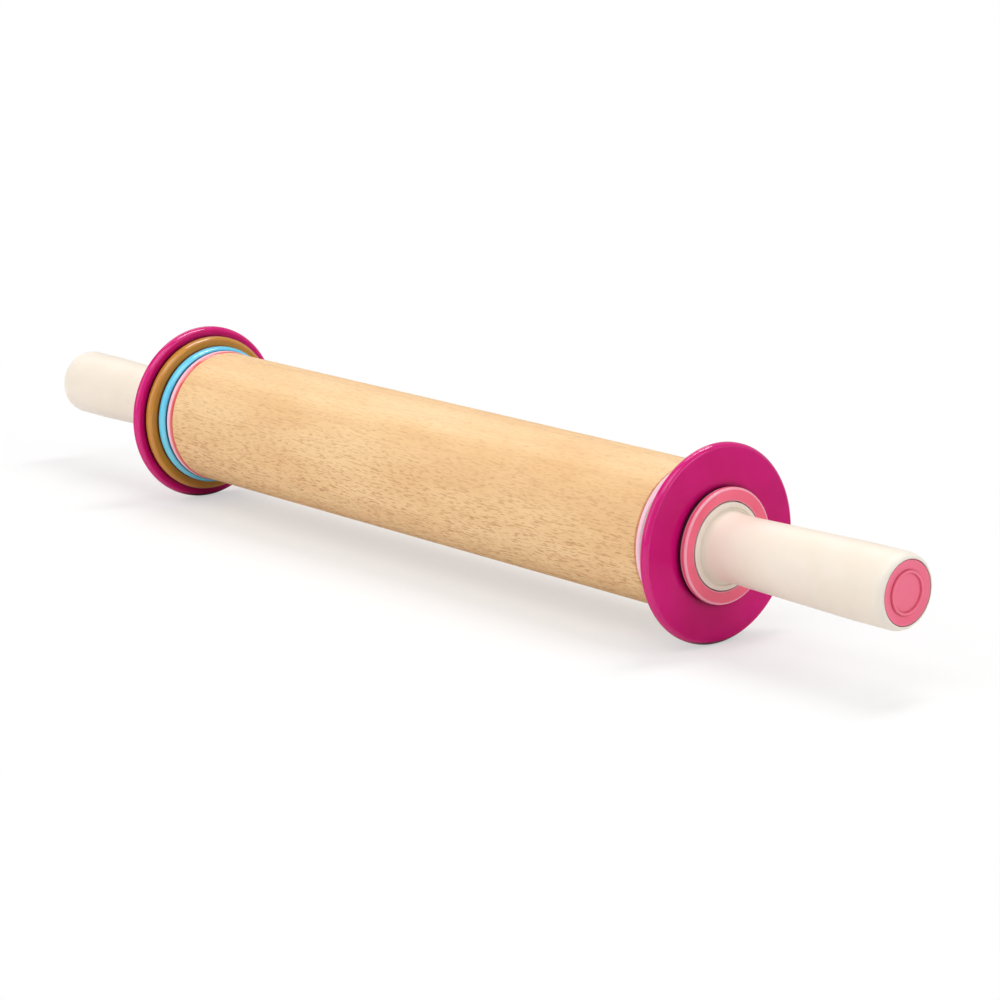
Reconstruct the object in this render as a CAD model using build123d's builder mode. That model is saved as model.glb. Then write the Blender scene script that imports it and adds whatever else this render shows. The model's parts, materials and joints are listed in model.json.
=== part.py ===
"""Adjustable rolling pin: a beech barrel with four spacer rings at each end.

The barrel's axis is X, and the origin is at its middle. Everything beyond a barrel end is
measured outwards from that end's face, so both ends are made by the same lines.
"""

from build123d import *
import math
import os

os.makedirs("parts", exist_ok=True)

# Barrel
barrel_length = 300.0
barrel_radius = 28.8
barrel_edge = 0.9
axle_way_gap = 2.0
socket_spare = 0.2

# Spacer rings: how far each one stands proud of the barrel, from the barrel outwards
ring_steps = {"pink": 0.5, "blue": 2.0, "orange": 6.0, "magenta": 10.0}
ring_thickness = 4.2
ring_edge = 1.3
ring_bore_edge = 0.4

# Running and sliding clearances, each on the radius or on the length
slide_clearance = 0.2
turn_clearance = 0.05
seat_clearance = 0.05
end_play = 0.1

# Axle, and the plain bearing it turns in
axle_radius = 4.0
axle_stud_step = 1.0
axle_stud_spare = 6.8
axle_chamfer = 0.6
bearing_wall = 2.95
bearing_inside = 5.0
bearing_flange = 2.0
bearing_flange_lip = 2.0
thrust_washer_thickness = 1.0

# Handle, whose flange passes through the collar's hole
grip_radius = 14.45
grip_length = 89.8
grip_swell = 1.45
grip_rest_length = 18.0
handle_flange_lip = 2.55
handle_flange = 3.5
handle_flange_edge = 0.6
handle_flange_land = 0.9
handle_hub_length = 2.2
neck_flare = 5.4
neck_flare_tangent_share = 0.9
handle_end_round = 4.0
handle_end_inset = 2.13
handle_wall = 2.9
core_floor = 5.0
shoulder_depth = 37.2
tube_wall = 2.95
tube_step = 8.0
handle_rib_count = 4
handle_rib_width = 1.8
rib_root = 0.6

# Screw collar and the washer under it
collar_flange = 3.2
collar_lip = 1.5
collar_front_edge = 1.9
collar_back_edge = 0.4
collar_hole_edge = 0.35
sleeve_wall = 1.9
sleeve_end_gap = 3.0
sleeve_plain_length = 3.0
washer_thickness = 0.8
washer_inset = 0.5
thread_pitch = 3.0
thread_depth = 0.8
thread_root_width = 0.7
thread_mouth_width = 1.8

# Spigot, which is glued into the barrel and carries the rings on its hollow boss
plug_gap = 3.5
plug_length = 25.0
plug_wall = 2.5
plug_floor = 3.5
spigot_web = 3.0
boss_wall = 1.5
boss_setback = 0.5
hub_wall = 2.95
spigot_rib_count = 6
spigot_rib_width = 2.0

# Fastening inside the handle
nut_sides = 6
nut_wall = 2.0
nut_height = 5.0
nut_washer_inset = 1.0
nut_washer_thickness = 1.2
nut_chamfer = 0.7

# End cap
cap_thickness = 2.4
cap_edge = 0.5
cap_gap = 0.12
cap_skirt_length = 6.0
cap_skirt_wall = 1.4
cap_skirt_gap = 0.35
cap_ring_inset = 4.0
cap_ring_width = 0.9
cap_ring_height = 0.35

# One overrun serves every cut
overrun = 1.0

# Radii from the axle outwards, each from the piece it fits
bearing_bore_radius = axle_radius + turn_clearance
bearing_radius = bearing_bore_radius + bearing_wall
bearing_seat_radius = bearing_radius + seat_clearance
bearing_flange_radius = bearing_radius + bearing_flange_lip
hub_radius = bearing_seat_radius + hub_wall
plug_radius = hub_radius + plug_gap + plug_wall
socket_radius = plug_radius + seat_clearance
axle_way_radius = axle_radius + axle_way_gap
axle_stud_radius = axle_radius - axle_stud_step
stud_hole_radius = axle_stud_radius + seat_clearance
tube_radius = bearing_bore_radius + tube_wall
nut_washer_radius = tube_radius - nut_washer_inset
nut_inner_radius = axle_stud_radius + nut_wall
nut_corner_radius = nut_inner_radius / math.cos(math.pi / nut_sides)

# Radii from the grip outwards: the rings and the collar come off over the handle
neck_radius = grip_radius - grip_swell
core_end_radius = grip_radius - handle_wall
core_start_radius = neck_radius - handle_wall
cap_recess_radius = grip_radius - handle_end_inset
cap_radius = cap_recess_radius - cap_gap
cap_ring_radius = cap_radius - cap_ring_inset
handle_flange_radius = grip_radius + handle_flange_lip
collar_hole_radius = handle_flange_radius + slide_clearance
sleeve_radius = collar_hole_radius + sleeve_wall
boss_bore_radius = sleeve_radius + slide_clearance
boss_radius = boss_bore_radius + boss_wall
ring_bore_radius = boss_radius + slide_clearance
collar_radius = ring_bore_radius + collar_lip
washer_radius = collar_radius - washer_inset

# Places along an end, outwards from the barrel's face
socket_depth = plug_length + socket_spare
stack_length = ring_thickness * len(ring_steps)
boss_length = stack_length - boss_setback
collar_seat = stack_length + washer_thickness
collar_front = collar_seat + collar_flange
sleeve_start = spigot_web + sleeve_end_gap
sleeve_length = collar_seat - sleeve_start
thread_length = sleeve_length - sleeve_plain_length
handle_flange_back = collar_front - handle_flange
hub_start = handle_flange_back - handle_hub_length
thrust_start = hub_start - thrust_washer_thickness
bearing_face = thrust_start - end_play
hub_length = bearing_face - bearing_flange
neck_start = collar_front + neck_flare
core_start = collar_front + core_floor
axle_shoulder = collar_front + shoulder_depth
axle_stud_length = tube_step + nut_washer_thickness + nut_height + axle_stud_spare
tube_end = axle_shoulder + tube_step
nut_start = tube_end + nut_washer_thickness
grip_end = collar_front + grip_length
grip_rest_end = grip_end - handle_end_round
grip_rest_start = grip_rest_end - grip_rest_length
cap_seat = grip_end - cap_thickness


class End:
    """One end of the barrel, with the planes its pieces are drawn on."""

    def __init__(self, side: str, outward: int):
        self.side = side
        centre = (outward * barrel_length / 2, 0, 0)
        self.axis = Axis(centre, (outward, 0, 0))
        # Across the axis, looking outwards
        self.face = Plane(origin=centre, x_dir=(0, outward, 0), z_dir=(outward, 0, 0))
        # Through the axis: the sketch's X is the distance outwards, and its Y the radius
        self.profile = Plane(origin=centre, x_dir=(outward, 0, 0), z_dir=(0, -outward, 0))


def save(piece: BuildPart, label: str):
    """Name a finished piece and write its file."""
    piece.part.label = label
    export_step(piece.part, f"parts/{label}.step")


ends = [End("right", 1), End("left", -1)]

# Beech barrel: drilled through for the axle and counterbored for the two spigots
with BuildPart() as barrel:
    with BuildSketch(Plane.YZ):
        Circle(barrel_radius)
    extrude(amount=barrel_length / 2, both=True)
    fillet(barrel.edges().filter_by(GeomType.CIRCLE), barrel_edge)
    for end in ends:
        with Locations(end.face):
            CounterBoreHole(
                radius=axle_way_radius,
                counter_bore_radius=socket_radius,
                counter_bore_depth=socket_depth,
                depth=barrel_length / 2,
            )
save(barrel, "barrel")

# Steel axle: one rod with a thinner threaded stud and a shoulder at each end
with BuildPart() as axle:
    with BuildSketch(Plane.YZ):
        Circle(axle_radius)
    extrude(amount=barrel_length / 2 + axle_shoulder, both=True)
    with BuildSketch(Plane.YZ):
        Circle(axle_stud_radius)
    extrude(amount=barrel_length / 2 + axle_shoulder + axle_stud_length, both=True)
    tips = axle.faces().sort_by(Axis.X)
    chamfer([tips[0].edge(), tips[-1].edge()], axle_chamfer)
save(axle, "axle")

for end in ends:
    # Spigot: a ribbed plug in the barrel, a web, a bearing hub and the threaded hollow boss
    with BuildPart() as spigot:
        with BuildSketch(end.profile):
            with BuildLine():
                Polyline(
                    (-plug_length, axle_way_radius),
                    (-plug_length, hub_radius),
                    (-plug_floor, hub_radius),
                    (-plug_floor, plug_radius - plug_wall),
                    (-plug_length, plug_radius - plug_wall),
                    (-plug_length, plug_radius),
                    (0, plug_radius),
                    (0, boss_radius),
                    (boss_length, boss_radius),
                    (boss_length, boss_bore_radius),
                    (spigot_web, boss_bore_radius),
                    (spigot_web, hub_radius),
                    (hub_length, hub_radius),
                    (hub_length, bearing_seat_radius),
                    (-bearing_inside, bearing_seat_radius),
                    (-bearing_inside, axle_way_radius),
                    close=True,
                )
            make_face()
        revolve(axis=end.axis)
        rib_inner = hub_radius - rib_root
        rib_outer = plug_radius - plug_wall + rib_root
        with BuildSketch(end.face.offset(-plug_length)):
            with PolarLocations((rib_inner + rib_outer) / 2, spigot_rib_count):
                Rectangle(rib_outer - rib_inner, spigot_rib_width)
        extrude(amount=plug_length - plug_floor)
    save(spigot, f"{end.side}_spigot")

    # Flanged plain bearing, pushed into the spigot's hub
    with BuildPart() as bearing:
        with BuildSketch(end.face.offset(-bearing_inside)):
            Circle(bearing_radius)
        extrude(amount=bearing_inside + hub_length)
        with BuildSketch(end.face.offset(hub_length)):
            Circle(bearing_flange_radius)
        extrude(amount=bearing_flange)
        with BuildSketch(end.face.offset(-bearing_inside)):
            Circle(bearing_bore_radius)
        extrude(amount=bearing_inside + bearing_face, mode=Mode.SUBTRACT)
    save(bearing, f"{end.side}_bearing")

    # Spacer rings, each with both outer edges rounded
    for place, (colour, step) in enumerate(ring_steps.items()):
        with BuildPart() as ring:
            with BuildSketch(end.face.offset(place * ring_thickness)):
                Circle(barrel_radius + step)
                Circle(ring_bore_radius, mode=Mode.SUBTRACT)
            extrude(amount=ring_thickness)
            rims = ring.edges().filter_by(GeomType.CIRCLE).group_by(SortBy.RADIUS)
            chamfer(rims[0], ring_bore_edge)
            fillet(rims[-1], ring_edge)
        save(ring, f"{end.side}_{colour}_ring")

    # Friction washer between the outermost ring and the collar
    with BuildPart() as collar_washer:
        with BuildSketch(end.face.offset(stack_length)):
            Circle(washer_radius)
            Circle(boss_bore_radius, mode=Mode.SUBTRACT)
        extrude(amount=washer_thickness)
    save(collar_washer, f"{end.side}_collar_washer")

    # Screw collar: a rounded flange on a thin sleeve with a coarse thread cut in it
    with BuildPart() as collar:
        with BuildSketch(end.face.offset(sleeve_start)):
            Circle(sleeve_radius)
        extrude(amount=sleeve_length)
        with BuildSketch(end.face.offset(collar_seat)):
            Circle(collar_radius)
        extrude(amount=collar_flange)
        rims = collar.edges().filter_by(GeomType.CIRCLE).group_by(SortBy.RADIUS)[-1]
        rims = rims.sort_by(end.axis)
        fillet(rims[0], collar_back_edge)
        fillet(rims[-1], collar_front_edge)
        path = end.face.offset(sleeve_start - thread_pitch) * Helix(
            pitch=thread_pitch,
            height=thread_length + thread_pitch,
            radius=sleeve_radius,
            mode=Mode.PRIVATE,
        )
        groove_start = path @ 0
        outwards = groove_start - end.axis.position
        outwards = outwards - end.axis.direction * outwards.dot(end.axis.direction)
        with BuildSketch(Plane(origin=groove_start, x_dir=outwards, z_dir=path % 0)):
            with BuildLine():
                Polyline(
                    (-thread_depth, -thread_root_width / 2),
                    (0, -thread_mouth_width / 2),
                    (thread_depth, -thread_mouth_width / 2),
                    (thread_depth, thread_mouth_width / 2),
                    (0, thread_mouth_width / 2),
                    (-thread_depth, thread_root_width / 2),
                    close=True,
                )
            make_face()
        sweep(path=path, is_frenet=True, mode=Mode.SUBTRACT)
        with BuildSketch(end.face.offset(sleeve_start)):
            Circle(collar_hole_radius)
        extrude(amount=sleeve_length + collar_flange, mode=Mode.SUBTRACT)
        mouth = collar.faces().sort_by(end.axis)[-1].edges().sort_by(SortBy.RADIUS)[0]
        chamfer(mouth, collar_hole_edge)
    save(collar, f"{end.side}_collar")

    # Thrust washer between the bearing's flange and the handle
    with BuildPart() as thrust_washer:
        with BuildSketch(end.face.offset(thrust_start)):
            Circle(bearing_flange_radius)
            Circle(bearing_bore_radius, mode=Mode.SUBTRACT)
        extrude(amount=thrust_washer_thickness)
    save(thrust_washer, f"{end.side}_thrust_washer")

    # Handle: a hollow moulding with a flange, a flared neck, a swelling grip and a round end
    with BuildPart() as handle:
        with BuildSketch(end.profile):
            with BuildLine():
                Polyline(
                    (hub_start, 0),
                    (hub_start, bearing_flange_radius),
                    (handle_flange_back, bearing_flange_radius),
                    (handle_flange_back, handle_flange_radius),
                    (collar_front - handle_flange_edge, handle_flange_radius),
                )
                RadiusArc(
                    (collar_front - handle_flange_edge, handle_flange_radius),
                    (collar_front, handle_flange_radius - handle_flange_edge),
                    handle_flange_edge,
                )
                land_radius = handle_flange_radius - handle_flange_edge - handle_flange_land
                Line(
                    (collar_front, handle_flange_radius - handle_flange_edge),
                    (collar_front, land_radius),
                )
                Spline(
                    (collar_front, land_radius),
                    (neck_start, neck_radius),
                    tangents=((0, -1), (grip_rest_start - neck_start, grip_radius - neck_radius)),
                    tangent_scalars=(neck_flare_tangent_share, neck_flare_tangent_share),
                )
                Polyline(
                    (neck_start, neck_radius),
                    (grip_rest_start, grip_radius),
                    (grip_rest_end, grip_radius),
                )
                EllipticalCenterArc(
                    (grip_rest_end, cap_recess_radius),
                    handle_end_round,
                    grip_radius - cap_recess_radius,
                    arc_size=90,
                )
                Polyline(
                    (grip_end, cap_recess_radius),
                    (grip_end, 0),
                    (hub_start, 0),
                )
            make_face()
        revolve(axis=end.axis)
        with BuildSketch(end.profile):
            with BuildLine():
                Polyline(
                    (core_start, tube_radius),
                    (core_start, core_start_radius),
                    (grip_rest_start, core_end_radius),
                    (cap_seat, core_end_radius),
                    (cap_seat, cap_recess_radius),
                    (grip_end + overrun, cap_recess_radius),
                    (grip_end + overrun, 0),
                    (tube_end, 0),
                    (tube_end, tube_radius),
                    close=True,
                )
            make_face()
        revolve(axis=end.axis, mode=Mode.SUBTRACT)
        rib_inner = tube_radius - rib_root
        with BuildSketch(end.face.offset(core_start)):
            with PolarLocations((rib_inner + core_end_radius) / 2, handle_rib_count):
                Rectangle(core_end_radius - rib_inner, handle_rib_width)
        extrude(amount=tube_end - core_start)
        with BuildSketch(end.face.offset(hub_start)):
            Circle(bearing_bore_radius)
        extrude(amount=axle_shoulder - hub_start, mode=Mode.SUBTRACT)
        with BuildSketch(end.face.offset(hub_start)):
            Circle(stud_hole_radius)
        extrude(amount=tube_end - hub_start, mode=Mode.SUBTRACT)
    save(handle, f"{end.side}_handle")

    # Plain washer and chamfered hexagon nut on the axle's stud
    with BuildPart() as axle_washer:
        with BuildSketch(end.face.offset(tube_end)):
            Circle(nut_washer_radius)
            Circle(stud_hole_radius, mode=Mode.SUBTRACT)
        extrude(amount=nut_washer_thickness)
    save(axle_washer, f"{end.side}_axle_washer")

    with BuildPart() as axle_nut:
        with BuildSketch(end.face.offset(nut_start)):
            RegularPolygon(nut_inner_radius, nut_sides, major_radius=False)
        extrude(amount=nut_height)
        with BuildSketch(end.face.offset(nut_start)):
            Circle(nut_corner_radius)
        extrude(amount=nut_height, mode=Mode.INTERSECT)
        with BuildSketch(end.profile):
            with BuildLine():
                Polyline(
                    (nut_start, 0),
                    (nut_start, nut_corner_radius - nut_chamfer),
                    (nut_start + nut_chamfer / 2, nut_corner_radius),
                    (nut_start + nut_height - nut_chamfer / 2, nut_corner_radius),
                    (nut_start + nut_height, nut_corner_radius - nut_chamfer),
                    (nut_start + nut_height, 0),
                    close=True,
                )
            make_face()
        revolve(axis=end.axis, mode=Mode.INTERSECT)
        with BuildSketch(end.face.offset(nut_start)):
            Circle(stud_hole_radius)
        extrude(amount=nut_height, mode=Mode.SUBTRACT)
    save(axle_nut, f"{end.side}_axle_nut")

    # End cap: a disc with a plain raised ring, held by a skirt inside the handle
    with BuildPart() as end_cap:
        with BuildSketch(end.face.offset(cap_seat)):
            Circle(cap_radius)
        extrude(amount=cap_thickness)
        fillet(end_cap.faces().sort_by(end.axis)[-1].edges(), cap_edge)
        with BuildSketch(end.face.offset(grip_end)):
            Circle(cap_ring_radius)
            Circle(cap_ring_radius - cap_ring_width, mode=Mode.SUBTRACT)
        extrude(amount=cap_ring_height)
        skirt_radius = core_end_radius - cap_skirt_gap
        with BuildSketch(end.face.offset(cap_seat - cap_skirt_length)):
            Circle(skirt_radius)
            Circle(skirt_radius - cap_skirt_wall, mode=Mode.SUBTRACT)
        extrude(amount=cap_skirt_length)
    save(end_cap, f"{end.side}_end_cap")
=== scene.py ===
"""Looks of an adjustable rolling pin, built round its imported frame.

The barrel's axis is X and the origin is at its middle. A piece at one end is drawn by its
distance outwards from the barrel's end face and by its radius, in millimetres, and a turning
method brings it into the frame, in metres.
"""

from __future__ import annotations

import json
import logging
import math
from dataclasses import dataclass, field
from enum import Enum
from typing import Callable

import bmesh
import bpy
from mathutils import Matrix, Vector


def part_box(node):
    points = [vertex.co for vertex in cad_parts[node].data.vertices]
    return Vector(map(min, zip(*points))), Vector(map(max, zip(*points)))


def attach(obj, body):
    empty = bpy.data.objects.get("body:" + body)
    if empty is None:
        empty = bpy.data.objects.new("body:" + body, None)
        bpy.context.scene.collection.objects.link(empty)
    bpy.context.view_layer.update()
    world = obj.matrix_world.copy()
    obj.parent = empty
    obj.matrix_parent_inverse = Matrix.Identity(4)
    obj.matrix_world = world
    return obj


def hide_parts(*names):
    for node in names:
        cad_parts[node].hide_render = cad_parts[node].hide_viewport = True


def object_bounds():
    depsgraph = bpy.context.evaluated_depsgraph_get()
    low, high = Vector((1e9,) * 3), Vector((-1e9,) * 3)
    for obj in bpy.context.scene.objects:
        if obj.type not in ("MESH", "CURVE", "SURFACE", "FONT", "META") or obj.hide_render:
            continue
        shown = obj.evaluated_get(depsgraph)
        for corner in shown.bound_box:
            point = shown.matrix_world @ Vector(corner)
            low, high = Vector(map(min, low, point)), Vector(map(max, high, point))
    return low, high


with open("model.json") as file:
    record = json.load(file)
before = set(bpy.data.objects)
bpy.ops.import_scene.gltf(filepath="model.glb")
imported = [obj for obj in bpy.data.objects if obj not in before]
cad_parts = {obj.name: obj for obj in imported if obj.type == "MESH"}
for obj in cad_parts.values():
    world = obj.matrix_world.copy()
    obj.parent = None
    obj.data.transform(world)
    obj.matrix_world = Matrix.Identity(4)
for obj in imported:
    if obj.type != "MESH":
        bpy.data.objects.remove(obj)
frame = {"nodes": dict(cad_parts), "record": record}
CAD_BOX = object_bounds()

LOG = logging.getLogger("rolling_pin")
MM = 0.001
SAME_PLACE = 0.000001
FULL_TURN = 2 * math.pi

# The attribute that says how much of a rim or corner each vertex lies on
CORNER = "corner"

# The directions that a round corner can face, in degrees from the outward one
OUTWARD = 0
RIMWARD = 90
INWARD = 180
AXISWARD = -90

Colour = tuple[float, float, float]
Point = tuple[float, float, float]
Place = tuple[float, float]
Span = tuple[float, float]
Socket = bpy.types.NodeSocket
Tree = tuple[Socket, Socket, Socket]


class Side(Enum):
    """The two ends of the pin, each with its direction along X."""

    RIGHT = 1
    LEFT = -1

    @property
    def label(self) -> str:
        """The word that the end's nodes start with."""
        return self.name.lower()


class Hue(Enum):
    """The four spacer rings, in order from the barrel outwards."""

    PINK = "pink"
    BLUE = "blue"
    ORANGE = "orange"
    MAGENTA = "magenta"


def srgb(*levels: int) -> Colour:
    """Turn a colour as a picture shows it into the linear one that a shader takes.

    The numbers are those of the curve in the sRGB standard.

    Args:
        levels: red, green and blue, from 0 to 255.

    Returns:
        The linear colour, each part from 0 to 1.
    """
    shares = [level / 255 for level in levels]
    return tuple(part / 12.92 if part <= 0.04045 else ((part + 0.055) / 1.055) ** 2.4 for part in shares)


@dataclass
class Outline:
    """Half the section of a turned piece: places of distance outwards and radius."""

    places: list[Place] = field(default_factory=list)

    def to(self, *places: Place) -> None:
        """Add straight runs to the given places."""
        self.places.extend(places)

    def round(self, centre: Place, size: Place, start: float, stop: float, steps: int = 8) -> None:
        """Add a round corner, as part of an ellipse.

        Args:
            centre: the ellipse's centre.
            size: its half lengths outwards and across.
            start: the angle where it starts, in degrees from the outward direction.
            stop: the angle where it ends.
            steps: how many short runs make it.
        """
        for step in range(steps + 1):
            angle = math.radians(start + (stop - start) * step / steps)
            along = centre[0] + size[0] * math.cos(angle)
            radius = centre[1] + size[1] * math.sin(angle)
            self.places.append((along, radius))

    def back_rim(self, along: float, radius: float, edge: float, steps: int = 8) -> None:
        """Round the outer corner of a face that looks inwards."""
        self.round((along + edge, radius - edge), (edge, edge), INWARD, RIMWARD, steps)

    def front_rim(self, along: float, radius: float, edge: float, steps: int = 8) -> None:
        """Round the outer corner of a face that looks outwards."""
        self.round((along - edge, radius - edge), (edge, edge), RIMWARD, OUTWARD, steps)

    def held(self, gap: float, least: float = 3.0) -> list[Place]:
        """List the places, with one more just inside each end of every long run.

        The added ones keep a corner's painted highlight, dulling and polish to the corner.

        Args:
            gap: how far from the run's end each one lies.
            least: how many gaps long a run has to be to get them.

        Returns:
            The places.
        """
        places = []
        for index, place in enumerate(self.places):
            following = self.places[(index + 1) % len(self.places)]
            places.append(place)
            length = math.dist(place, following)
            if length > least * gap:
                for share in (gap / length, 1 - gap / length):
                    places.append(tuple(a + (b - a) * share for a, b in zip(place, following)))
        return places

    @staticmethod
    def corners(places: list[Place], gentlest: float = 3.0, shortest: float = 0.001) -> list[float]:
        """Weigh how sharply the outline turns outwards at each of its places.

        Args:
            places: the outline's places, round which it closes.
            gentlest: the radius of the gentlest curve that still counts in full.
            shortest: the least run that a turn is spread over.

        Returns:
            1 on a rim or outer corner, 0 on a straight run or in an inner corner.
        """
        weights = []
        area = sum(a[0] * b[1] - b[0] * a[1] for a, b in zip(places, places[1:] + places[:1]))
        for index, place in enumerate(places):
            before = places[index - 1]
            after = places[(index + 1) % len(places)]
            come = (place[0] - before[0], place[1] - before[1])
            leave = (after[0] - place[0], after[1] - place[1])
            across = come[0] * leave[1] - come[1] * leave[0]
            turn = math.atan2(across, come[0] * leave[0] + come[1] * leave[1])
            reach = (math.hypot(*come) + math.hypot(*leave)) / 2
            bend = math.copysign(turn, turn * area) / max(reach, shortest)
            weights.append(min(1.0, max(0.0, bend * gentlest)))
        return weights

    def flare(self, start: Place, bend: Place, stop: Place, steps: int = 14) -> None:
        """Add a smooth hollow curve that leaves and arrives along the lines to its bend.

        Args:
            start: where the curve leaves.
            bend: the corner that the curve rounds off.
            stop: where it arrives.
            steps: how many short runs make it.
        """
        for step in range(steps + 1):
            share = step / steps
            rest = 1 - share
            weights = (rest * rest, 2 * rest * share, share * share)
            pulls = list(zip(weights, (start, bend, stop)))
            self.places.append(tuple(sum(pull * place[part] for pull, place in pulls) for part in (0, 1)))


@dataclass(frozen=True)
class Lathe:
    """Turns outlines into meshes, round the pin's axis at one end or at its middle.

    Attributes:
        outward: 1 where outwards is along X, and -1 where it is against it.
        datum: how far along the axis the outlines start, in metres.
        facets: how many flats make the round.
        hold: how far from a corner its painted highlight and polish reach along a straight run, in
            millimetres.
    """

    outward: int
    datum: float
    facets: int = 160
    hold: float = 0.25

    def turn(
        self, name: str, outline: Outline, cut: Callable[[Place, float], float] | None = None
    ) -> bpy.types.Object:
        """Make a closed ring-shaped mesh from an outline that comes back to its start.

        Args:
            name: the piece's name.
            outline: the section, round which the mesh closes.
            cut: how far a place of the outline is cut below its radius at an angle.

        Returns:
            The new object, linked to the scene.
        """
        places = outline.held(self.hold)
        weights = [weight for weight in outline.corners(places) for _ in range(self.facets)]
        rows = len(places)
        vertices = []
        for place in places:
            along, radius = place
            for facet in range(self.facets):
                angle = FULL_TURN * facet / self.facets
                reach = (radius - (cut(place, angle) if cut else 0.0)) * MM
                out = self.outward * (self.datum + along * MM)
                vertices.append((out, self.outward * reach * math.cos(angle), reach * math.sin(angle)))
        faces = []
        for row in range(rows):
            near = row * self.facets
            far = (row + 1) % rows * self.facets
            for facet in range(self.facets):
                beside = (facet + 1) % self.facets
                faces.append((near + facet, far + facet, far + beside, near + beside))
        return solid(name, vertices, faces, weights)


def add(name: str, data: bpy.types.ID) -> bpy.types.Object:
    """Put a mesh, lamp or camera in the scene, under that name."""
    made = bpy.data.objects.new(name, data)
    bpy.context.scene.collection.objects.link(made)
    return made


def solid(
    name: str,
    vertices: list[Point],
    faces: list[tuple[int, ...]],
    weights: list[float],
    crease: float = 34.0,
) -> bpy.types.Object:
    """Make an object of a mesh, smooth except along its true corners.

    Args:
        name: the object's name.
        vertices: its corners, in metres.
        faces: the corners of each face.
        weights: how much of a corner each vertex lies on, which the finishes read.
        crease: the angle past which an edge stays sharp, in degrees.

    Returns:
        The new object, linked to the scene.
    """
    mesh = bpy.data.meshes.new(name)
    mesh.from_pydata(vertices, [], faces)
    shape = bmesh.new()
    shape.from_mesh(mesh)
    layer = shape.verts.layers.float.new(CORNER)
    for vertex, weight in zip(shape.verts, weights):
        vertex[layer] = weight
    bmesh.ops.remove_doubles(shape, verts=shape.verts, dist=SAME_PLACE)
    bmesh.ops.recalc_face_normals(shape, faces=shape.faces)
    shape.to_mesh(mesh)
    shape.free()
    piece = add(name, mesh)
    mesh.shade_smooth()
    mesh.set_sharp_from_angle(angle=math.radians(crease))
    weighted = piece.modifiers.new("Even shading", "WEIGHTED_NORMAL")
    weighted.keep_sharp = True
    return piece


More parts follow.
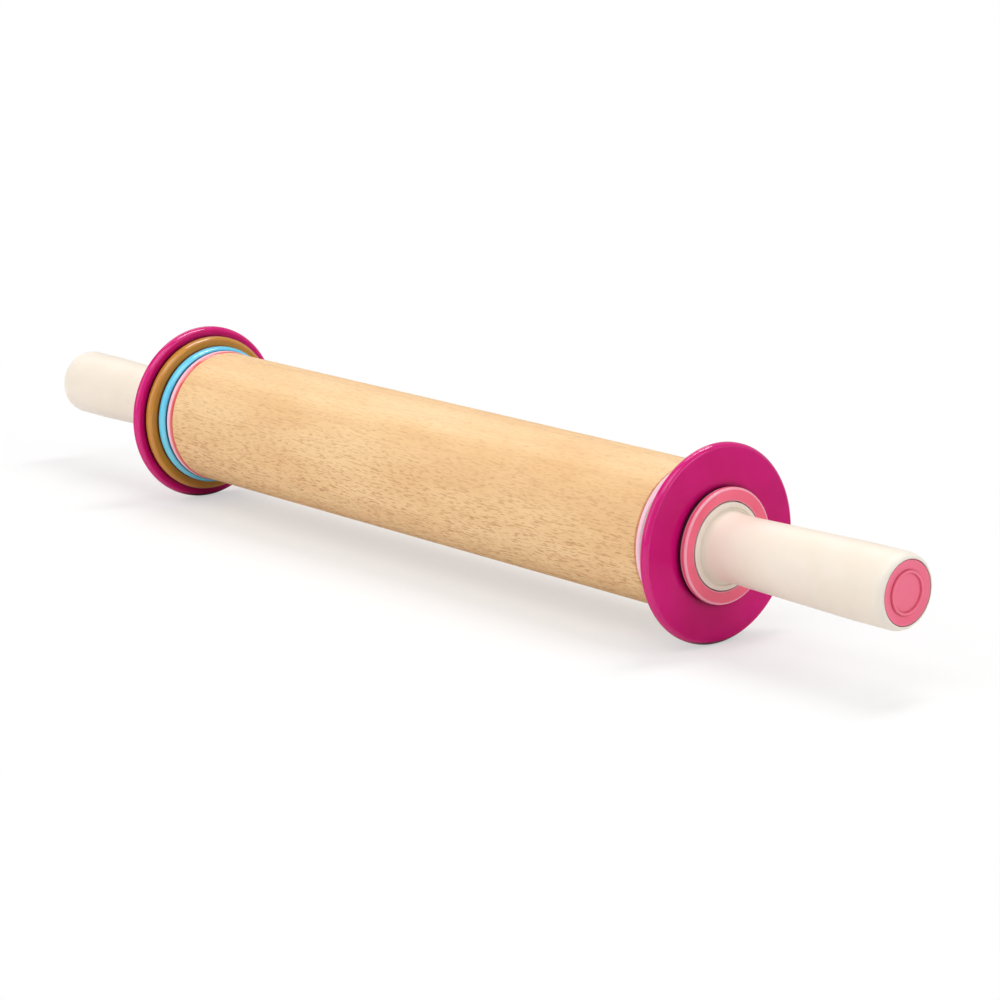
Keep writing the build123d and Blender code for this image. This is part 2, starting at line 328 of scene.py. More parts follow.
class Shader:
    """A material's nodes, with a short call for each kind that the finishes use."""

    # Where the Mix node keeps its two colours and their blend
    MIX_FIRST = 6
    MIX_SECOND = 7
    MIX_BLEND = 2

    # How much open sky a crevice sees where its shade starts, and where it is full
    SKY_SPAN = (0.85, 0.30)
    SKY_SAMPLES = 6

    def __init__(self, name: str) -> None:
        """Start a material of that name with only its surface shader and output."""
        self.material = bpy.data.materials.new(name)
        self.material.use_nodes = True
        self.tree = self.material.node_tree
        self.surface = self.tree.nodes["Principled BSDF"]
        self.place = self.tree.nodes.new("ShaderNodeTexCoord").outputs["Object"]

    def node(self, kind: str, **settings: object) -> bpy.types.Node:
        """Add a node and set its own properties.

        Args:
            kind: the node's type, without its leading ShaderNode.
            settings: its properties.

        Returns:
            The new node.
        """
        made = self.tree.nodes.new("ShaderNode" + kind)
        for key, value in settings.items():
            setattr(made, key, value)
        return made

    def feed(self, node: bpy.types.Node, key: str | int, value: object) -> None:
        """Give a node's input a link or a plain value."""
        if isinstance(value, bpy.types.NodeSocket):
            self.tree.links.new(value, node.inputs[key])
        else:
            node.inputs[key].default_value = value

    def set(self, **values: object) -> None:
        """Give the surface shader's inputs their links or plain values.

        Args:
            values: input names in small letters, with _ for each space.
        """
        names = {socket.name.lower().replace(" ", "_"): socket.name for socket in self.surface.inputs}
        for key, value in values.items():
            self.feed(self.surface, names[key], value)

    def stretch(self, place: Socket, along: float, across: float) -> Socket:
        """Scale a place, by one factor along the pin and another across it."""
        made = self.node("VectorMath", operation="MULTIPLY")
        self.feed(made, 0, place)
        self.feed(made, 1, (along, across, across))
        return made.outputs["Vector"]

    def maths(self, operation: str, *values: object) -> Socket:
        """Work out a number from others.

        Args:
            operation: the sum, as the node names it.
            values: its inputs, as links or numbers.

        Returns:
            The result.
        """
        made = self.node("Math", operation=operation)
        for index, value in enumerate(values):
            self.feed(made, index, value)
        return made.outputs[0]

    def apart(self, place: Socket) -> bpy.types.NodeOutputs:
        """Split a place into its X, Y and Z."""
        made = self.node("SeparateXYZ")
        self.feed(made, 0, place)
        return made.outputs

    def noise(
        self,
        place: Socket,
        scale: float = 1.0,
        detail: float = 2.0,
        roughness: float = 0.5,
        distortion: float = 0.0,
    ) -> Socket:
        """Add cloudy noise from 0 to 1.

        Args:
            place: where it is read.
            scale: how many features fill a unit.
            detail: how many finer layers it has.
            roughness: how strong those are.
            distortion: how far it swirls.

        Returns:
            The noise.
        """
        made = self.node("TexNoise")
        values = (place, scale, detail, roughness, distortion)
        for key, value in zip(("Vector", "Scale", "Detail", "Roughness", "Distortion"), values):
            self.feed(made, key, value)
        return made.outputs["Fac"]

    def ramp(self, factor: Socket, low: float, high: float) -> Socket:
        """Turn a range of a number smoothly into 0 to 1.

        Args:
            factor: the number.
            low: what becomes 0.
            high: what becomes 1, which may be the lower of the two.

        Returns:
            The result, never outside 0 to 1.
        """
        made = self.node("MapRange", interpolation_type="SMOOTHSTEP")
        for key, value in (("Value", factor), ("From Min", low), ("From Max", high)):
            self.feed(made, key, value)
        return made.outputs["Result"]

    def mix(self, factor: object, first: object, second: object) -> Socket:
        """Blend two colours.

        Args:
            factor: 0 for the first and 1 for the second.
            first: a colour or a link.
            second: a colour or a link.

        Returns:
            The blend.
        """
        made = self.node("Mix", data_type="RGBA")
        self.feed(made, 0, factor)
        for index, value in ((self.MIX_FIRST, first), (self.MIX_SECOND, second)):
            self.feed(made, index, (*value, 1.0) if isinstance(value, tuple) else value)
        return made.outputs[self.MIX_BLEND]

    def crevice(self, reach: float) -> Socket:
        """Find the grooves and inner corners, where painted shade darkens the colour.

        Args:
            reach: how near something must stand to make one, in metres.

        Returns:
            1 deep in a groove and 0 on an open face.
        """
        made = self.node("AmbientOcclusion", samples=self.SKY_SAMPLES)
        self.feed(made, "Distance", reach)
        return self.ramp(made.outputs["AO"], *self.SKY_SPAN)

    def bump(self, height: Socket, depth: float, strength: float) -> Socket:
        """Raise a surface's fine relief.

        Args:
            height: the relief, from 0 to 1.
            depth: how high 1 stands, in metres.
            strength: how much of it shows.

        Returns:
            The surface's direction.
        """
        made = self.node("Bump")
        for key, value in (("Height", height), ("Distance", depth), ("Strength", strength)):
            self.feed(made, key, value)
        return made.outputs["Normal"]


@dataclass(frozen=True)
class Beech:
    """Oiled beech, turned along its grain: short dark ray flecks on a pale ground.

    A stretch scales a place along and across the pin, a span is what becomes 0 and 1, and
    a strength says how much of a mark shows. Lengths are in metres.
    """

    name: str = "Beech"
    pale: Colour = srgb(248, 209, 155)
    tan: Colour = srgb(238, 192, 134)
    fleck: Colour = srgb(174, 98, 36)
    late_wood: Colour = srgb(206, 150, 88)
    pith: Place = (-0.066, 0.024)
    reach: float = 0.070
    ring_gap: float = 0.0052
    ring_sway: float = 2.6
    ring_sway_stretch: Span = (2.5, 30)
    ring_span: Span = (0.35, 0.98)
    ring_strength: float = 0.12
    dash_size: Point = (0.0042, 0.00038, 0.0022)
    dash_span: Span = (0.52, 0.66)
    dash_strength: float = 0.52
    fleck_size: Point = (0.0056, 0.00060, 0.0030)
    fleck_span: Span = (0.46, 0.16)
    fleck_choice: Span = (0.45, 0.95)
    fleck_strength: float = 0.40
    drift_stretch: Span = (26, 90)
    drift_span: Span = (0.20, 0.65)
    side_span: Span = (0.026, -0.012)
    side_least: float = 0.35
    fibre_stretch: Span = (90, 1700)
    fibre_span: Span = (0.42, 0.80)
    fibre_strength: float = 0.24
    fibre_relief: float = 0.30
    cloud_stretch: Span = (9, 34)
    cloud_span: Span = (0.32, 0.70)
    sway_stretch: Span = (45, 170)
    sway: Point = (0.0, 0.0013, 0.0013)
    gloss: float = 0.40
    cloud_dulling: float = 0.10
    pit_dulling: float = 0.10
    relief_depth: float = 0.00004
    relief_strength: float = 0.5
    shine: float = 0.8

    def material(self) -> bpy.types.Material:
        """Make the wood's material."""
        shader = Shader(self.name)
        grain = self.grain(shader)
        tree = self.tree(shader, grain)
        side = self.side(shader)
        flecks = shader.maths("MULTIPLY", self.flecks(shader, tree), side)
        dashes = shader.maths("MULTIPLY", self.dashes(shader, tree), side)
        fibre = shader.noise(shader.stretch(grain, *self.fibre_stretch), detail=3.0, roughness=0.6)
        cloudy = shader.stretch(shader.place, *self.cloud_stretch)
        clouds = shader.noise(cloudy, detail=3.0, roughness=0.55)
        ground = shader.mix(shader.ramp(clouds, *self.cloud_span), self.pale, self.tan)
        for marks, strength, colour in (
            (self.rings(shader, tree), self.ring_strength, self.late_wood),
            (shader.ramp(fibre, *self.fibre_span), self.fibre_strength, self.late_wood),
            (dashes, self.dash_strength, self.fleck),
            (flecks, self.fleck_strength, self.fleck),
        ):
            ground = shader.mix(shader.maths("MULTIPLY", marks, strength), ground, colour)
        pits = shader.maths("MAXIMUM", flecks, dashes)
        relief = shader.maths("SUBTRACT", shader.maths("MULTIPLY", fibre, self.fibre_relief), pits)
        polish = shader.maths("MULTIPLY_ADD", clouds, self.cloud_dulling, self.gloss)
        shader.set(
            base_color=ground,
            roughness=shader.maths("MULTIPLY_ADD", pits, self.pit_dulling, polish),
            normal=shader.bump(relief, self.relief_depth, self.relief_strength),
            ior=1.45,
            specular_ior_level=self.shine,
        )
        return shader.material

    def grain(self, shader: Shader) -> Socket:
        """Bend the grain a little, so that nothing in it runs quite straight."""
        sway = shader.node("TexNoise")
        shader.feed(sway, "Vector", shader.stretch(shader.place, *self.sway_stretch))
        shader.feed(sway, "Scale", 1.0)
        shift = shader.node("VectorMath", operation="MULTIPLY_ADD")
        for index, value in enumerate((sway.outputs["Color"], self.sway, shader.place)):
            shader.feed(shift, index, value)
        return shift.outputs["Vector"]

    def tree(self, shader: Shader, grain: Socket) -> Tree:
        """Say where a place lay in the tree.

        Args:
            shader: the material that asks.
            grain: the place.

        Returns:
            The distances along the grain, round the pith and away from it, in metres.
        """
        apart = shader.apart(grain)
        across = shader.maths("ADD", apart["Y"], self.pith[0])
        above = shader.maths("ADD", apart["Z"], self.pith[1])
        squares = shader.maths("MULTIPLY_ADD", across, across, shader.maths("MULTIPLY", above, above))
        turn = shader.maths("ARCTAN2", across, above)
        around = shader.maths("MULTIPLY", turn, self.reach)
        return apart["X"], around, shader.maths("SQRT", squares)

    def rings(self, shader: Shader, tree: Tree) -> Socket:
        """The late wood of each growth ring, darkest where the ring ends."""
        uneven = shader.noise(shader.stretch(shader.place, *self.ring_sway_stretch))
        count = shader.maths("DIVIDE", tree[2], self.ring_gap)
        phase = shader.maths("MULTIPLY_ADD", uneven, self.ring_sway, count)
        return shader.ramp(shader.maths("FRACT", phase), *self.ring_span)

    def side(self, shader: Shader) -> Socket:
        """How strong the flecks and dashes are round the barrel: weaker towards the top."""
        height = shader.ramp(shader.apart(shader.place)["Z"], *self.side_span)
        return shader.maths("MULTIPLY_ADD", height, 1 - self.side_least, self.side_least)

    def cells(self, shader: Shader, tree: Tree, size: Point) -> Socket:
        """Measure a place of the tree in units of a mark's size.

        Args:
            shader: the material that asks.
            tree: the place.
            size: the mark's length, width and depth, in metres.

        Returns:
            The place.
        """
        place = shader.node("CombineXYZ")
        for index, part in enumerate(size):
            shader.feed(place, index, shader.maths("DIVIDE", tree[index], part))
        return place.outputs[0]

    def dashes(self, shader: Shader, tree: Tree) -> Socket:
        """The soft dashes that fill the whole surface, one beside another."""
        marks = shader.noise(self.cells(shader, tree, self.dash_size), detail=1.0, roughness=0.6)
        return shader.ramp(marks, *self.dash_span)

    def flecks(self, shader: Shader, tree: Tree) -> Socket:
        """The ends of the larger rays: longer thin dashes along the grain, in loose drifts.

        Args:
            shader: the material they go in.
            tree: where they are read.

        Returns:
            1 in a fleck and 0 outside it.
        """
        cells = shader.node("TexVoronoi", feature="F1")
        shader.feed(cells, "Vector", self.cells(shader, tree, self.fleck_size))
        shader.feed(cells, "Scale", 1.0)
        fleck = shader.ramp(cells.outputs["Distance"], *self.fleck_span)
        chance = shader.node("SeparateColor")
        shader.feed(chance, 0, cells.outputs["Color"])
        strong = shader.ramp(chance.outputs[0], *self.fleck_choice)
        drifts = shader.noise(shader.stretch(shader.place, *self.drift_stretch))
        drift = shader.ramp(drifts, *self.drift_span)
        return shader.maths("MULTIPLY", shader.maths("MULTIPLY", fleck, strong), drift)


@dataclass(frozen=True)
class Moulding:
    """Moulded plastic: a coloured body, a fine skin, rims with polish and a painted highlight, and painted
    shade in its grooves.

    Stretches, spans and strengths are as in Beech, and lengths are in metres.
    """

    name: str
    body: Colour
    deep: Colour
    gloss: float
    skin_size: float
    skin_depth: float
    skin_strength: float = 0.5
    # painted shade: its colour, and how near a part must stand to cast it
    shade: Colour = srgb(120, 110, 100)
    shade_reach: float = 0.0014
    # painted highlight: the pale colour that rims and corners take, and how much of it
    rim_highlight: Colour = srgb(250, 246, 240)
    rim_highlight_share: float = 0.05
    rim_highlight_dulling: float = 0.05
    polish: float = 0.0
    polish_roughness: float = 0.08
    shine: float = 0.5
    glow: float = 0.0
    glow_reach: Colour = (0.0, 0.0, 0.0)
    flank_shade: Colour | None = None
    flank_shade_span: Span = (0.1517, 0.1506)
    cloud_scale: float = 55.0
    cloud_span: Span = (0.30, 0.78)
    cloud_dulling: float = 0.06
    flow_stretch: Span = (160, 26)
    flow_span: Span = (0.5, 0.8)
    flow_strength: float = 0.12
    scuff_stretch: Span = (900, 260)
    scuff_span: Span = (0.62, 0.80)
    scuff_dulling: float = 0.04
    scuff_relief: float = -0.08

    def beside_wood(self, shader: Shader) -> Socket:
        """How much of the flank's painted shade a place takes: 1 beside the barrel, 0 further outwards."""
        out = shader.maths("ABSOLUTE", shader.apart(shader.place)["X"])
        return shader.ramp(out, *self.flank_shade_span)

    def material(self) -> bpy.types.Material:
        """Make the plastic's material."""
        shader = Shader(self.name)
        clouds = shader.noise(shader.place, self.cloud_scale, detail=3.0, roughness=0.55)
        streaks = shader.noise(shader.stretch(shader.place, *self.flow_stretch), distortion=0.8)
        flow = shader.maths("MULTIPLY", shader.ramp(streaks, *self.flow_span), self.flow_strength)
        on_rim = shader.node("Attribute", attribute_name=CORNER).outputs["Fac"]
        skin = shader.noise(shader.place, 1 / self.skin_size, roughness=0.6)
        scuffed = shader.stretch(shader.place, *self.scuff_stretch)
        scuff = shader.ramp(shader.noise(scuffed, roughness=0.6, distortion=1.5), *self.scuff_span)
        least = self.gloss - self.cloud_dulling / 2
        smear = shader.maths("MULTIPLY_ADD", clouds, self.cloud_dulling, least)
        rough = shader.maths("MULTIPLY_ADD", scuff, self.scuff_dulling, smear)
        relief = shader.maths("MULTIPLY_ADD", scuff, self.scuff_relief, skin)
        colour = shader.mix(shader.ramp(clouds, *self.cloud_span), self.body, self.deep)
        colour = shader.mix(flow, colour, self.deep)
        # painted highlight: rims and corners lighten towards the pale rim colour
        colour = shader.mix(shader.maths("MULTIPLY", on_rim, self.rim_highlight_share), colour, self.rim_highlight)
        # painted shade with the wood's reflected colour on the ring's barrel-side flank
        if self.flank_shade:
            colour = shader.mix(self.beside_wood(shader), colour, self.flank_shade)
        # painted shade: grooves, inner corners and the face round nearby parts darken towards the shade
        # colour
        colour = shader.mix(shader.crevice(self.shade_reach), colour, self.shade)
        shader.set(
            base_color=colour,
            roughness=shader.maths("MULTIPLY_ADD", on_rim, self.rim_highlight_dulling, rough),
            normal=shader.bump(relief, self.skin_depth, self.skin_strength),
            ior=1.5,
            specular_ior_level=self.shine,
            subsurface_weight=self.glow,
            subsurface_radius=self.glow_reach,
            subsurface_scale=1.0,
            coat_weight=shader.maths("MULTIPLY", on_rim, self.polish),
            coat_roughness=self.polish_roughness,
        )
        return shader.material


@dataclass(frozen=True)
class Metal:
    """Turned or plated steel, with fine marks round the axis."""

    name: str
    bright: Colour
    dull: Colour
    gloss: float
    mark_stretch: Span = (5200, 120)
    mark_depth: float = 0.00002
    mark_strength: float = 0.45
    cloud_scale: float = 210.0
    cloud_span: Span = (0.35, 0.75)
    cloud_dulling: float = 0.18

    def material(self) -> bpy.types.Material:
        """Make the metal's material."""
        shader = Shader(self.name)
        marks = shader.noise(shader.stretch(shader.place, *self.mark_stretch), detail=3.0, roughness=0.6)
        clouds = shader.noise(shader.place, self.cloud_scale, detail=3.0, roughness=0.6)
        shader.set(
            base_color=shader.mix(shader.ramp(clouds, *self.cloud_span), self.bright, self.dull),
            metallic=1.0,
            roughness=shader.maths("MULTIPLY_ADD", clouds, self.cloud_dulling, self.gloss),
            normal=shader.bump(marks, self.mark_depth, self.mark_strength),
        )
        return shader.material


@dataclass(frozen=True)
class Fibre:
    """Dark pressed fibre, dull and faintly speckled."""

    name: str
    dark: Colour
    fleck: Colour
    gloss: float = 0.62
    speck_scale: float = 2600.0
    speck_span: Span = (0.55, 0.75)
    speck_dulling: float = 0.2
    speck_depth: float = 0.00005
    speck_strength: float = 0.6

    def material(self) -> bpy.types.Material:
        """Make the fibre's material."""
        shader = Shader(self.name)
        specks = shader.noise(shader.place, self.speck_scale, detail=3.0, roughness=0.7)
        shader.set(
            base_color=shader.mix(shader.ramp(specks, *self.speck_span), self.dark, self.fleck),
            roughness=shader.maths("MULTIPLY_ADD", specks, self.speck_dulling, self.gloss),
            normal=shader.bump(specks, self.speck_depth, self.speck_strength),
        )
        return shader.material


@dataclass
class Finishes:
    """Every finish on the pin, made once and shared."""

    made: dict[str, bpy.types.Material] = field(default_factory=dict)

    def __post_init__(self) -> None:
        """Make each material under its slot's name."""
        ring_skin = {"gloss": 0.15, "skin_size": 0.0016, "skin_depth": 0.000003, "polish": 0.85}
        pink_glow = {"glow": 0.1, "glow_reach": (0.0026, 0.0008, 0.0010)}
        satin = {"gloss": 0.38, "skin_size": 0.00045, "skin_depth": 0.00002}
        # Each moulding's pale rim colour is a painted highlight, its shade colour is painted shade in
        # grooves and round nearby parts, and the pink ring's flank colour is painted shade with the wood's
        # reflected colour
        slots = {
            "beech": Beech(),
            "pink_ring": Moulding(
                "Pink ring plastic",
                srgb(255, 206, 221),
                srgb(255, 194, 211),
                shade=srgb(206, 60, 76),
                shade_reach=0.0018,
                rim_highlight=srgb(255, 226, 234),
                rim_highlight_share=0.1,
                glow=0.2,
                glow_reach=(0.0030, 0.0010, 0.0012),
                # painted shade with the wood's reflected colour beside the barrel
                flank_shade=srgb(234, 98, 100),
                **ring_skin,
            ),
            "blue_ring": Moulding(
                "Blue ring plastic",
                srgb(106, 217, 247),
                srgb(82, 203, 241),
                shade=srgb(20, 96, 130),
                rim_highlight=srgb(176, 238, 252),
                rim_highlight_share=0.1,
                glow=0.15,
                glow_reach=(0.0006, 0.0020, 0.0028),
                **ring_skin,
            ),
            "orange_ring": Moulding(
                "Orange ring plastic",
                srgb(198, 134, 34),
                srgb(183, 118, 26),
                shade=srgb(96, 30, 16),
                rim_highlight=srgb(232, 164, 70),
                rim_highlight_share=0.25,
                shine=0.45,
                **ring_skin,
            ),
            "magenta_ring": Moulding(
                "Magenta ring plastic",
                srgb(212, 6, 120),
                srgb(200, 4, 108),
                shade=srgb(60, 0, 16),
                shade_reach=0.0045,
                rim_highlight=srgb(230, 2, 132),
                rim_highlight_share=0.35,
                shine=0.16,
                **ring_skin,
            ),
            "pink_collar": Moulding(
                "Collar plastic",
                srgb(255, 112, 141),
                srgb(250, 102, 131),
                shade=srgb(112, 10, 36),
                rim_highlight=srgb(255, 184, 204),
                rim_highlight_share=0.7,
                shine=0.35,
                polish=1.0,
                gloss=0.24,
                skin_size=0.0008,
                skin_depth=0.000012,
                **pink_glow,
            ),
            "pink_cap": Moulding(
                "Cap plastic",
                srgb(254, 118, 148),
                srgb(250, 110, 140),
                shade=srgb(140, 10, 40),
                rim_highlight=srgb(255, 150, 170),
                rim_highlight_share=0.2,
                **pink_glow,
                **satin,
            ),
            "ivory_handle": Moulding(
                "Ivory handle plastic",
                srgb(247, 235, 220),
                srgb(243, 230, 212),
                shade=srgb(206, 188, 172),
                rim_highlight=srgb(255, 250, 242),
                rim_highlight_share=0.3,
                glow=0.1,
                glow_reach=(0.0030, 0.0024, 0.0018),
                **satin,
            ),
            "white_moulding": Moulding("Spigot plastic", srgb(236, 232, 222), srgb(224, 219, 206), **satin),
            "bearing_plastic": Moulding("Bearing nylon", srgb(224, 220, 204), srgb(206, 200, 180), **satin),
            "axle_steel": Metal("Axle steel", srgb(204, 205, 208), srgb(168, 170, 174), 0.24),
            "plated_steel": Metal("Plated steel", srgb(196, 199, 204), srgb(150, 154, 160), 0.30),
            "dark_washer": Fibre("Washer fibre", srgb(36, 18, 22), srgb(60, 40, 40)),
        }
        for slot_name, finish in slots.items():
            self.made[slot_name] = finish.material()

    def dress(self, piece: bpy.types.Object, slot_name: str) -> None:
        """Give a piece the finish of a slot.

        Args:
            piece: the piece to dress.
            slot_name: the record's slot.
        """
        piece.data.materials.clear()
        piece.data.materials.append(self.made[slot_name])

    def dress_frame(self) -> None:
        """Give every node of the frame its slot's finish, hidden or not."""
        for part in frame["record"]["subparts"]:
            node = frame["nodes"][part["node"]]
            node.data.materials.clear()
            node.data.materials.append(self.made[part["material_slot"]])


def node_span(node: str) -> tuple[float, float, float]:
    """Read a node's place along its end from the frame.

    Args:
        node: the node's name.

    Returns:
        Its start and end outwards from the barrel's face, and its radius, in millimetres.
    """
    low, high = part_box(node)
    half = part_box("barrel")[1].x
    near, far = sorted((abs(low.x), abs(high.x)))
    return (near - half) / MM, (far - half) / MM, high.z / MM


def settle(piece: bpy.types.Object, finishes: Finishes, slot_name: str, node: str, body: str) -> None:
    """Dress a turned piece and let it stand for its node.

    Args:
        piece: the piece.
        finishes: the pin's finishes.
        slot_name: the record's slot that it takes its finish from.
        node: the node that it stands for.
        body: the body that it rides on.
    """
    finishes.dress(piece, slot_name)
    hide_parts(node)
    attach(piece, body)
    LOG.info("%s stands for %s on %s", piece.name, node, body)


@dataclass
class Barrel:
    """The turned beech barrel, with its bore and the two spigot sockets."""

    finishes: Finishes
    facets: int = 224
    edge: float = 0.9
    bore: float = 6.0
    socket: float = 16.05
    socket_depth: float = 25.2

    def build(self) -> None:
        """Turn the barrel and put it in place."""
        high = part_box("barrel")[1]
        half = high.x / MM
        radius = high.z / MM
        floor = half - self.socket_depth
        outline = Outline()
        outline.to((-half, self.socket))
        outline.back_rim(-half, radius, self.edge)
        outline.front_rim(half, radius, self.edge)
        outline.to((half, self.socket), (floor, self.socket), (floor, self.bore))
        outline.to((-floor, self.bore), (-floor, self.socket))
        piece = Lathe(outward=1, datum=0.0, facets=self.facets).turn("beech_barrel", outline)
        settle(piece, self.finishes, "beech", "barrel", "barrel")


@dataclass
class EndPiece:
    """What every piece at one end is made with."""

    finishes: Finishes
    side: Side
    lathe: Lathe

    def make(
        self,
        kind: str,
        outline: Outline,
        slot_name: str,
        node: str,
        body: str,
        cut: Callable[[Place, float], float] | None = None,
    ) -> None:
        """Turn a piece and let it stand for its node.

        Args:
            kind: the piece's name, without its end's.
            outline: its section.
            slot_name: the record's slot that it takes its finish from.
            node: the node that it stands for.
            body: the body that it rides on.
            cut: how far a place of the outline is cut below its radius at an angle.
        """
        piece = self.lathe.turn(f"{self.side.label}_{kind}", outline, cut)
        settle(piece, self.finishes, slot_name, node, body)


@dataclass
class RingStack(EndPiece):
    """The four spacer rings at one end, each with soft bevelled rims and a broken bore edge."""

    arcs: tuple[Span, ...] = ((25.0, 1.2), (25.0, 3.0), (40.0, 0.8))
    bore: float = 21.0
    bore_edge: float = 0.4

    def corner(self) -> list[Place]:
        """Round a rim's corner by arcs that meet smoothly, the gentlest in the middle.

        Returns:
            How far in from the face and below the radius each place is, from the rim to the face.
        """
        facing = RIMWARD
        outline = Outline([(0.0, 0.0)])
        for sweep, size in self.arcs:
            along, rise = outline.places[-1]
            turn = math.radians(facing)
            centre = (along - size * math.cos(turn), rise - size * math.sin(turn))
            outline.round(centre, (size, size), facing, facing - sweep, steps=6)
            facing -= sweep
        reach = outline.places[-1][0]
        return [(reach - along, -rise) for along, rise in outline.places]

    def build(self) -> None:
        """Turn each ring and put it in place."""
        corner = self.corner()
        for hue in Hue:
            node = f"{self.side.label}_{hue.value}_ring"
            near, far, radius = node_span(node)
            outline = Outline()
            outline.to((near + self.bore_edge, self.bore), (near, self.bore + self.bore_edge))
            outline.to(*((near + inward, radius - drop) for inward, drop in reversed(corner)))
            outline.to(*((far - inward, radius - drop) for inward, drop in corner))
            outline.to((far, self.bore + self.bore_edge), (far - self.bore_edge, self.bore))
            self.make(f"{hue.value}_spacer", outline, f"{hue.value}_ring", node, node)


@dataclass
class Collar(EndPiece):
    """One end's screw collar: a round flange on a sleeve with a coarse thread."""

    hole: float = 17.2
    sleeve: float = 19.1
    flange: float = 3.2
    front_edge: float = 0.7
    back_edge: float = 1.1
    dish: float = 0.35
    hole_edge: float = 0.35
    pitch: float = 3.0
    thread_depth: float = 0.8
    thread_length: float = 8.6
    run_out: float = 1.5
    groove_root: float = 0.7
    groove_mouth: float = 1.8
    thread_row: float = 0.2

    def groove(self, along: float, angle: float) -> float:
        """How deep the thread's groove is at a place on the sleeve.

        Args:
            along: the distance from the sleeve's free end.
            angle: the angle round the axis.

        Returns:
            The depth below the sleeve's own radius.
        """
        turns = along / self.pitch - angle / FULL_TURN
        off_centre = abs((turns + 0.5) % 1.0 - 0.5) * self.pitch
        slope = (self.groove_mouth - self.groove_root) / 2
        share = min(1.0, max(0.0, (self.groove_mouth / 2 - off_centre) / slope))
        fade = min(1.0, max(0.0, (self.thread_length - along) / self.run_out))
        return self.thread_depth * share * fade

    def build(self) -> None:
        """Turn the collar, cut its thread and put it in place."""
        node = f"{self.side.label}_collar"
        start, front, radius = node_span(node)
        seat = front - self.flange
        root = self.sleeve - self.thread_depth
        rows = int((self.thread_length + self.pitch) / self.thread_row)
        low = front - self.dish
        outline = Outline()
        outline.to((start, self.hole), (start, (self.hole + root) / 2))
        outline.to(*((start + row * self.thread_row, self.sleeve) for row in range(rows + 1)))
        outline.to((seat, self.sleeve))
        outline.back_rim(seat, radius, self.back_edge, steps=4)
        outline.front_rim(front, radius, self.front_edge, steps=12)
        outline.to((low, self.hole + self.hole_edge), (low - self.hole_edge, self.hole))

        def cut(place: Place, angle: float) -> float:
            """Cut the groove only where the outline runs along the sleeve's outside."""
            along, reach = place
            outside = reach == self.sleeve and along < seat
            return self.groove(along - start, angle) if outside else 0.0

        self.make("screw_collar", outline, "pink_collar", node, node, cut)


@dataclass
class Handle(EndPiece):
    """One end's hollow handle: hub, flange, flared neck, swelling grip and round end."""

    hub_radius: float = 9.0
    flange: float = 3.5
    flange_edge: float = 0.6
    flange_land: float = 1.3
    flange_dip: float = 0.45
    neck: float = 13.0
    neck_flare: float = 5.4
    grip: float = 14.45
    rest_length: float = 18.0
    end_round: float = 4.0
    wall: float = 2.9
    core_floor: float = 5.0
    tube: float = 7.0
    tube_end: float = 66.0
    shoulder: float = 58.0
    axle_hole: float = 4.05
    stud_hole: float = 3.05
    recess: float = 12.32
    recess_depth: float = 2.4

    def build(self) -> None:
        """Turn the handle and put it in place."""
        node = f"{self.side.label}_handle"
        hub, end, flange_radius = node_span(node)
        front = node_span(f"{self.side.label}_collar")[1]
        back = front - self.flange
        land = flange_radius - self.flange_edge - self.flange_land
        dip = self.flange_dip
        neck_start = front + self.neck_flare
        rest_end = end - self.end_round
        rest_start = rest_end - self.rest_length
        core = front + self.core_floor
        seat = end - self.recess_depth
        outline = Outline()
        outline.to((hub, self.axle_hole), (hub, self.hub_radius))
        outline.to((back, self.hub_radius), (back, flange_radius))
        outline.front_rim(front, flange_radius, self.flange_edge, steps=6)
        outline.round((front, land - dip), (-dip, dip), RIMWARD, OUTWARD, steps=5)
        outline.flare((front - dip, land - 2 * dip), (front, self.neck), (neck_start, self.neck))
        outline.to((rest_start, self.grip))
        end_size = (self.end_round, self.grip - self.recess)
        outline.round((rest_end, self.recess), end_size, RIMWARD, OUTWARD, steps=14)
        outline.to(
            (seat, self.recess),
            (seat, self.grip - self.wall),
            (rest_start, self.grip - self.wall),
            (core, self.neck - self.wall),
            (core, self.tube),
            (self.tube_end, self.tube),
            (self.tube_end, self.stud_hole),
            (self.shoulder, self.stud_hole),
            (self.shoulder, self.axle_hole),
        )
        self.make("ivory_handle", outline, "ivory_handle", node, "handles")


@dataclass
class EndCap(EndPiece):
    """One end's snap-in cap, with a plain raised ring on its face."""

    thickness: float = 2.4
    edge: float = 0.5
    ring_radius: float = 8.2
    ring_width: float = 0.9
    ring_height: float = 0.35
    ring_round: float = 0.18
    dish: float = 0.5
    skirt: float = 11.2
    skirt_wall: float = 1.4
    heart: float = 0.0

    def build(self) -> None:
        """Turn the cap and put it in place."""
        node = f"{self.side.label}_end_cap"
        back, top, radius = node_span(node)
        face = top - self.ring_height
        seat = face - self.thickness
        low = face - self.dish
        soft = self.ring_round
        inner = self.ring_radius - self.ring_width
        inside = self.skirt - self.skirt_wall
        outline = Outline()
        outline.to((seat, self.heart), (seat, inside), (back, inside), (back, self.skirt))
        outline.to((seat, self.skirt), (seat, radius))
        outline.front_rim(face, radius, self.edge, steps=6)
        outline.to((low, self.ring_radius + soft))
        outline.front_rim(top, self.ring_radius, soft, steps=4)
        outline.round((top - soft, inner + soft), (soft, soft), OUTWARD, AXISWARD, steps=4)
        outline.to((low, inner - soft), (low, self.heart))
        self.make("pink_cap", outline, "pink_cap", node, "handles")


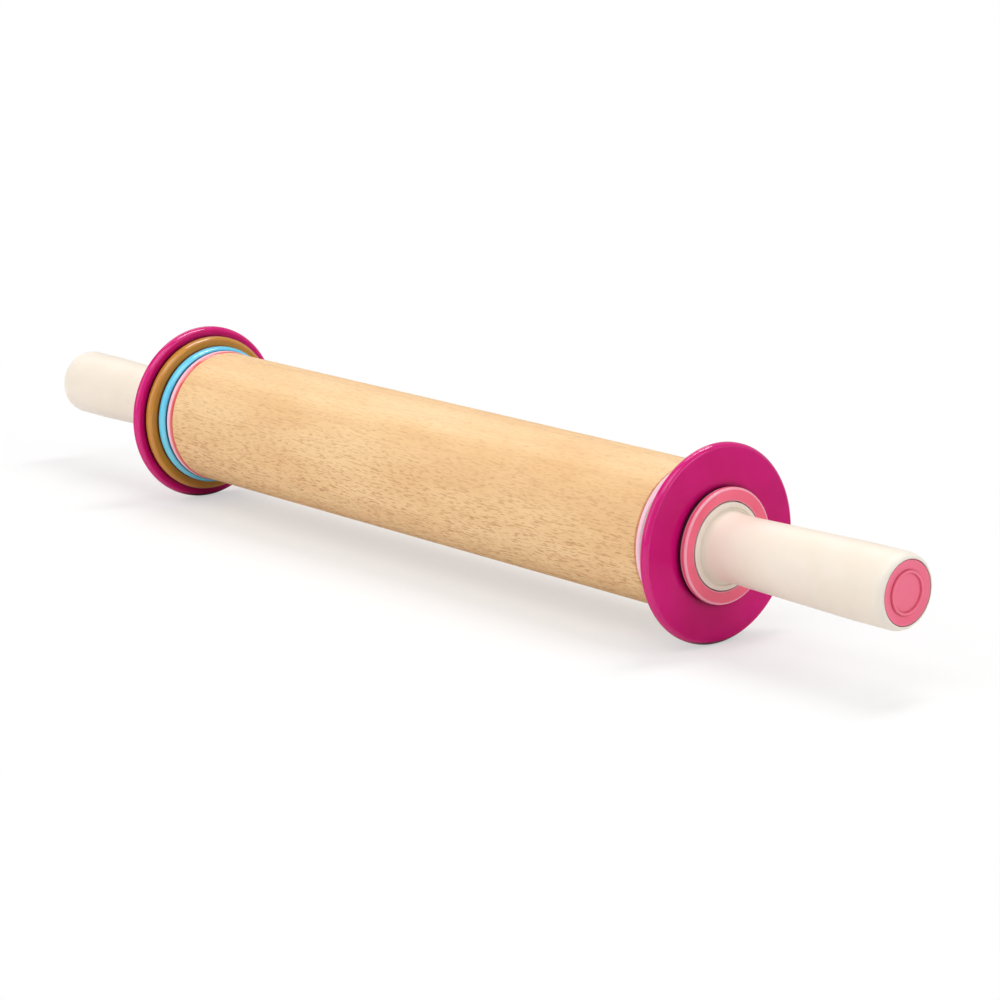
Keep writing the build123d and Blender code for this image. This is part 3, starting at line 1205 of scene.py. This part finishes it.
@dataclass
class Washer(EndPiece):
    """The friction washer under one end's collar."""

    hole: float = 19.3
    edge: float = 0.12

    def build(self) -> None:
        """Turn the washer and put it in place."""
        node = f"{self.side.label}_collar_washer"
        near, far, radius = node_span(node)
        outline = Outline()
        outline.to((near, self.hole), (near, radius - self.edge), (near + self.edge, radius))
        outline.to((far - self.edge, radius), (far, radius - self.edge), (far, self.hole))
        self.make("fibre_washer", outline, "dark_washer", node, node)


def aim(made: bpy.types.Object, place: Vector, look: Vector) -> None:
    """Set a lamp or camera at a place, facing a direction."""
    made.location = place
    made.rotation_mode = "QUATERNION"
    made.rotation_quaternion = look.to_track_quat("-Z", "Y")


@dataclass(frozen=True)
class Lamp:
    """A soft rectangular lamp that faces the pin's middle, with its power in watts."""

    name: str
    place: Point
    size: Span
    power: float

    def hang(self) -> None:
        """Hang the lamp at its place."""
        data = bpy.data.lights.new(self.name, "AREA")
        data.shape = "RECTANGLE"
        data.size, data.size_y = self.size
        data.energy = self.power
        place = Vector(self.place)
        aim(add(self.name, data), place, -place)


@dataclass
class Studio:
    """The floor, the lamps and the camera."""

    focal_pixels: float = 3134.8
    picture: float = 1000.0
    sensor: float = 36.0
    clip: Span = (0.05, 50.0)
    eye: Point = (0.97782, -0.80989, 0.28407)
    yaw: float = 0.858523
    pitch: float = 0.229355
    floor_reach: float = 6.0
    floor_pale: Colour = (0.83, 0.83, 0.83)
    floor_dark: Colour = (0.79, 0.79, 0.79)
    floor_seen: Colour = (0.92, 0.92, 0.92)
    speck_scale: float = 900.0
    fade_stretch: Span = (0.55, 1.0)
    fade_span: Span = (0.12, 0.30)
    fade_least: float = 0.5
    sky_seen: float = 1.0
    sky_felt: float = 0.40
    lamps: tuple[Lamp, ...] = (
        Lamp("Overhead", (0.25, -0.5, 1.05), (0.9, 0.6), 3.4),
        Lamp("Strip", (0.05, 0.33, 1.05), (0.20, 0.6), 4.2),
        Lamp("Front", (-0.55, -1.25, 0.6), (1.5, 1.1), 7.7),
        Lamp("Right", (1.3, 0.3, 0.7), (1.0, 0.8), 4.5),
        Lamp("Back", (-0.8, 0.35, 0.75), (0.9, 0.5), 1.9),
    )

    def camera(self) -> None:
        """Set up the camera at the photograph's viewpoint."""
        data = bpy.data.cameras.new("Camera")
        data.sensor_width = self.sensor
        data.lens = self.focal_pixels / self.picture * self.sensor
        data.clip_start, data.clip_end = self.clip
        camera = add("Camera", data)
        level = math.cos(self.pitch)
        look = Vector((-math.sin(self.yaw) * level, math.cos(self.yaw) * level, -math.sin(self.pitch)))
        aim(camera, Vector(self.eye), look)
        bpy.context.scene.camera = camera

    def floor(self) -> None:
        """Lay a white floor under the rings, which keeps the pin's soft shadow."""
        level = CAD_BOX[0].z
        reach = self.floor_reach
        mesh = bpy.data.meshes.new("floor")
        corners = ((-reach, -reach), (reach, -reach), (reach, reach), (-reach, reach))
        mesh.from_pydata([(*corner, level) for corner in corners], [], [range(len(corners))])
        floor = add("floor", mesh)
        shader = Shader("Floor white")
        seen = shader.node("LightPath").outputs["Is Camera Ray"]
        grey = shader.mix(shader.noise(shader.place, self.speck_scale), self.floor_pale, self.floor_dark)
        shader.set(
            base_color=shader.mix(seen, grey, self.floor_seen),
            roughness=0.9,
            specular_ior_level=0.1,
        )
        distance = shader.node("VectorMath", operation="LENGTH")
        shader.feed(distance, 0, shader.stretch(shader.place, *self.fade_stretch))
        away = shader.ramp(distance.outputs["Value"], *self.fade_span)
        away = shader.maths("MULTIPLY_ADD", away, 1 - self.fade_least, self.fade_least)
        white = shader.node("Emission")
        shader.feed(white, "Strength", 1.0)
        blend = shader.node("MixShader")
        shader.feed(blend, 0, shader.maths("MULTIPLY", away, seen))
        shader.feed(blend, 1, shader.surface.outputs[0])
        shader.feed(blend, 2, white.outputs[0])
        shader.feed(shader.tree.nodes["Material Output"], "Surface", blend.outputs[0])
        floor.data.materials.append(shader.material)

    def sky(self) -> None:
        """Set the pale surroundings: white to the camera, dimmer as a light and in reflections."""
        world = bpy.data.worlds.new("World")
        bpy.context.scene.world = world
        world.use_nodes = True
        tree = world.node_tree
        light_path = tree.nodes.new("ShaderNodeLightPath")
        strength = tree.nodes.new("ShaderNodeMapRange")
        strength.inputs["To Min"].default_value = self.sky_felt
        strength.inputs["To Max"].default_value = self.sky_seen
        tree.links.new(light_path.outputs["Is Camera Ray"], strength.inputs["Value"])
        background = tree.nodes["Background"]
        background.inputs["Color"].default_value = (1.0, 1.0, 1.0, 1.0)
        tree.links.new(strength.outputs["Result"], background.inputs["Strength"])

    def build(self) -> None:
        """Set up the whole studio."""
        self.camera()
        self.floor()
        for lamp in self.lamps:
            lamp.hang()
        self.sky()
        bpy.context.scene.view_settings.view_transform = "Standard"


@dataclass
class RollingPin:
    """The whole pin, end by end."""

    finishes: Finishes

    def build(self) -> None:
        """Dress the frame's nodes and make each visible piece."""
        self.finishes.dress_frame()
        Barrel(self.finishes).build()
        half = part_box("barrel")[1].x
        for side in Side:
            lathe = Lathe(outward=side.value, datum=half)
            for maker in (RingStack, Washer, Collar, Handle, EndCap):
                maker(self.finishes, side, lathe).build()


def main() -> None:
    """Build the studio and the pin, and report each piece."""
    logging.basicConfig(level=logging.INFO, format="%(name)s: %(message)s")
    Studio().build()
    RollingPin(Finishes()).build()


if __name__ == "__main__":
    main()
